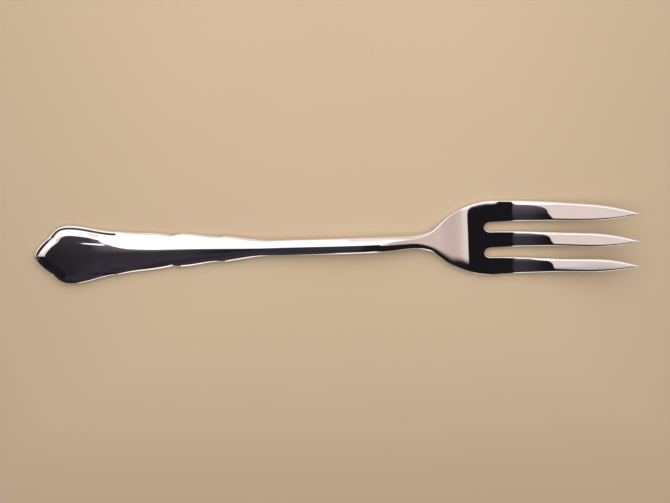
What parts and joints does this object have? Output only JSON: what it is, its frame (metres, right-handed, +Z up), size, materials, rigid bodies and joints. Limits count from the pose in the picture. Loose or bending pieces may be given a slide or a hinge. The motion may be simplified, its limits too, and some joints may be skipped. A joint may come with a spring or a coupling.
{
  "type": "pastry fork",
  "caption": "Slim polished fork for cakes and pastries: lobed handle with a raised edge line, slender stem, flared head, and a broad cutting tine beside narrower ones.",
  "frame": {"origin": "middle of the fork's length and width, on the plane that it lies on", "axes": "+X from the handle's tip to the tine points, +Y to the side of the broad tine, +Z up, out of the fork's hollow face"},
  "size_m": [0.1502, 0.0186, 0.0083],
  "materials": {
    "polished_metal": "polished"
  },
  "bodies": {
    "root": {"handle": "polished_metal", "stem": "polished_metal", "head": "polished_metal", "tine_left": "polished_metal", "tine_middle": "polished_metal", "tine_right": "polished_metal"}
  },
  "joints": []
}
